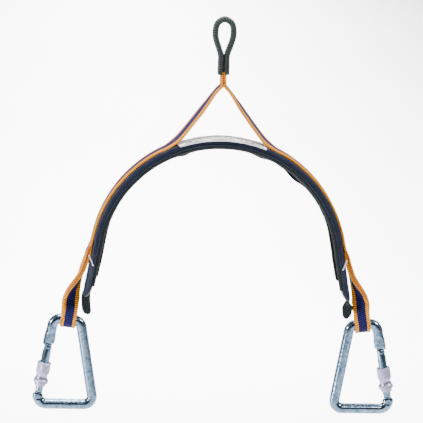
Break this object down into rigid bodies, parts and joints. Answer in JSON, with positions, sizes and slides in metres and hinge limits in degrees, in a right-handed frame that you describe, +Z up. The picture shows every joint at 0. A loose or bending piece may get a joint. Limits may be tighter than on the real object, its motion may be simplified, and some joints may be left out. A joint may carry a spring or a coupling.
{
  "type": "rescue spreader yoke",
  "caption": "Rescue spreader yoke: a sleeved lifting eye, a webbing sling over a padded arch, and a screw-gate carabiner hanging from each end.",
  "frame": {"origin": "bearing point of the lifting eye, at its inside top", "axes": "+Z up, against the load; +X across the arch; +Y through its depth, away from the front"},
  "size_m": [0.4156, 0.036, 0.4579],
  "materials": {
    "sleeve_fabric": "ribbed tubular tape",
    "webbing": "woven webbing with bright edges and a dark centre",
    "cover_fabric": "woven nylon",
    "foam": "closed-cell foam",
    "bar_aluminium": "mill",
    "hem_binding": "stitched binding",
    "loop_tape": "loop pile",
    "hook_tape": "hook pile",
    "label_film": "printed film",
    "sewing_thread": "twisted thread",
    "zinc_plated_steel": "zinc plated",
    "pin_steel": "plain",
    "spring_wire": "drawn wire",
    "knurled_steel": "knurled and zinc plated"
  },
  "bodies": {
    "lifting_eye": {"eye_sleeve": "sleeve_fabric", "eye_webbing": "webbing"},
    "neck": {"neck_webbing": "webbing"},
    "yoke": {"left_sling_webbing": "webbing", "right_sling_webbing": "webbing", "arch_cover": "cover_fabric", "foam_pad": "foam", "spreader_bar": "bar_aluminium", "front_hem": "hem_binding", "closure_loop_strip": "loop_tape", "closure_hook_strip": "hook_tape", "label": "label_film", "left_tail": "cover_fabric", "right_tail": "cover_fabric", "left_stay_thread": "sewing_thread", "right_stay_thread": "sewing_thread"},
    "left_strap": {"left_end_loop": "webbing", "left_strap_tack": "sewing_thread"},
    "left_carabiner": {"left_carabiner_body": "zinc_plated_steel"},
    "left_gate": {"left_gate": "zinc_plated_steel", "left_hinge_pin": "pin_steel", "left_latch_pin": "pin_steel", "left_gate_spring": "spring_wire"},
    "left_plunger": {"left_gate_plunger": "pin_steel"},
    "left_stop_ring": {"left_stop_ring": "spring_wire"},
    "left_lock_sleeve": {"left_lock_sleeve": "knurled_steel"},
    "right_strap": {"right_end_loop": "webbing", "right_strap_tack": "sewing_thread"},
    "right_carabiner": {"right_carabiner_body": "zinc_plated_steel"},
    "right_gate": {"right_gate": "zinc_plated_steel", "right_hinge_pin": "pin_steel", "right_latch_pin": "pin_steel", "right_gate_spring": "spring_wire"},
    "right_plunger": {"right_gate_plunger": "pin_steel"},
    "right_stop_ring": {"right_stop_ring": "spring_wire"},
    "right_lock_sleeve": {"right_lock_sleeve": "knurled_steel"}
  },
  "joints": [
    {"name": "eye_tilt", "type": "hinge", "parent": "lifting_eye", "child": "neck", "pos_m": [0, 0, -0.0614], "axis": [0, 1, 0], "range_deg": [-40, 40]},
    {"name": "yoke_turn", "type": "hinge", "parent": "neck", "child": "yoke", "pos_m": [0, 0, -0.07075], "axis": [0, 0, 1], "range_deg": [-60, 60], "stiffness_Nm_per_rad": 0.08},
    {"name": "left_strap_swing", "type": "hinge", "parent": "yoke", "child": "left_strap", "pos_m": [-0.15321, 0, -0.2838], "axis": [0, 1, 0], "range_deg": [-1, 45], "stiffness_Nm_per_rad": 0.5, "springref_deg": 4.62},
    {"name": "left_carabiner_swing", "type": "hinge", "parent": "left_strap", "child": "left_carabiner", "pos_m": [-0.16881, 0, -0.3453], "axis": [0.9945, 0, -0.1045], "range_deg": [-95, 95]},
    {"name": "left_gate_hinge", "type": "hinge", "parent": "left_carabiner", "child": "left_gate", "pos_m": [-0.20088, 0, -0.42779], "axis": [0, -1, 0], "range_deg": [-26, 0], "stiffness_Nm_per_rad": 0.15, "springref_deg": 18.91},
    {"name": "left_plunger_slide", "type": "slide", "parent": "left_gate", "child": "left_plunger", "axis": [0.1822, 0, 0.9833], "range_m": [0, 0.00105], "deforming": ["left_gate_spring"]},
    {"name": "left_sleeve_slide", "type": "slide", "parent": "left_gate", "child": "left_stop_ring", "axis": [0.1822, 0, 0.9833], "range_m": [0, 0.02]},
    {"name": "left_sleeve_turn", "type": "hinge", "parent": "left_stop_ring", "child": "left_lock_sleeve", "pos_m": [-0.20088, 0, -0.42779], "axis": [0.1822, 0, 0.9833], "range_deg": [0, 1801]},
    {"name": "right_strap_swing", "type": "hinge", "parent": "yoke", "child": "right_strap", "pos_m": [0.15321, 0, -0.2838], "axis": [0, -1, 0], "range_deg": [-1, 45], "stiffness_Nm_per_rad": 0.5, "springref_deg": 4.62},
    {"name": "right_carabiner_swing", "type": "hinge", "parent": "right_strap", "child": "right_carabiner", "pos_m": [0.16881, 0, -0.3453], "axis": [0.9945, 0, 0.1045], "range_deg": [-95, 95]},
    {"name": "right_gate_hinge", "type": "hinge", "parent": "right_carabiner", "child": "right_gate", "pos_m": [0.20088, 0, -0.42779], "axis": [0, 1, 0], "range_deg": [-26, 0], "stiffness_Nm_per_rad": 0.15, "springref_deg": 18.91},
    {"name": "right_plunger_slide", "type": "slide", "parent": "right_gate", "child": "right_plunger", "axis": [-0.1822, 0, 0.9833], "range_m": [0, 0.00105], "deforming": ["right_gate_spring"]},
    {"name": "right_sleeve_slide", "type": "slide", "parent": "right_gate", "child": "right_stop_ring", "axis": [-0.1822, 0, 0.9833], "range_m": [0, 0.02]},
    {"name": "right_sleeve_turn", "type": "hinge", "parent": "right_stop_ring", "child": "right_lock_sleeve", "pos_m": [0.20088, 0, -0.42779], "axis": [-0.1822, 0, 0.9833], "range_deg": [0, 1801]}
  ],
  "couplings": [
    {"joint": "left_plunger_slide", "follows": "left_gate_hinge", "m_per_rad": -0.0022037},
    {"joint": "left_sleeve_turn", "follows": "left_sleeve_slide", "rad_per_m": 1570.8},
    {"joint": "right_plunger_slide", "follows": "right_gate_hinge", "m_per_rad": -0.0022037},
    {"joint": "right_sleeve_turn", "follows": "right_sleeve_slide", "rad_per_m": 1570.8}
  ]
}
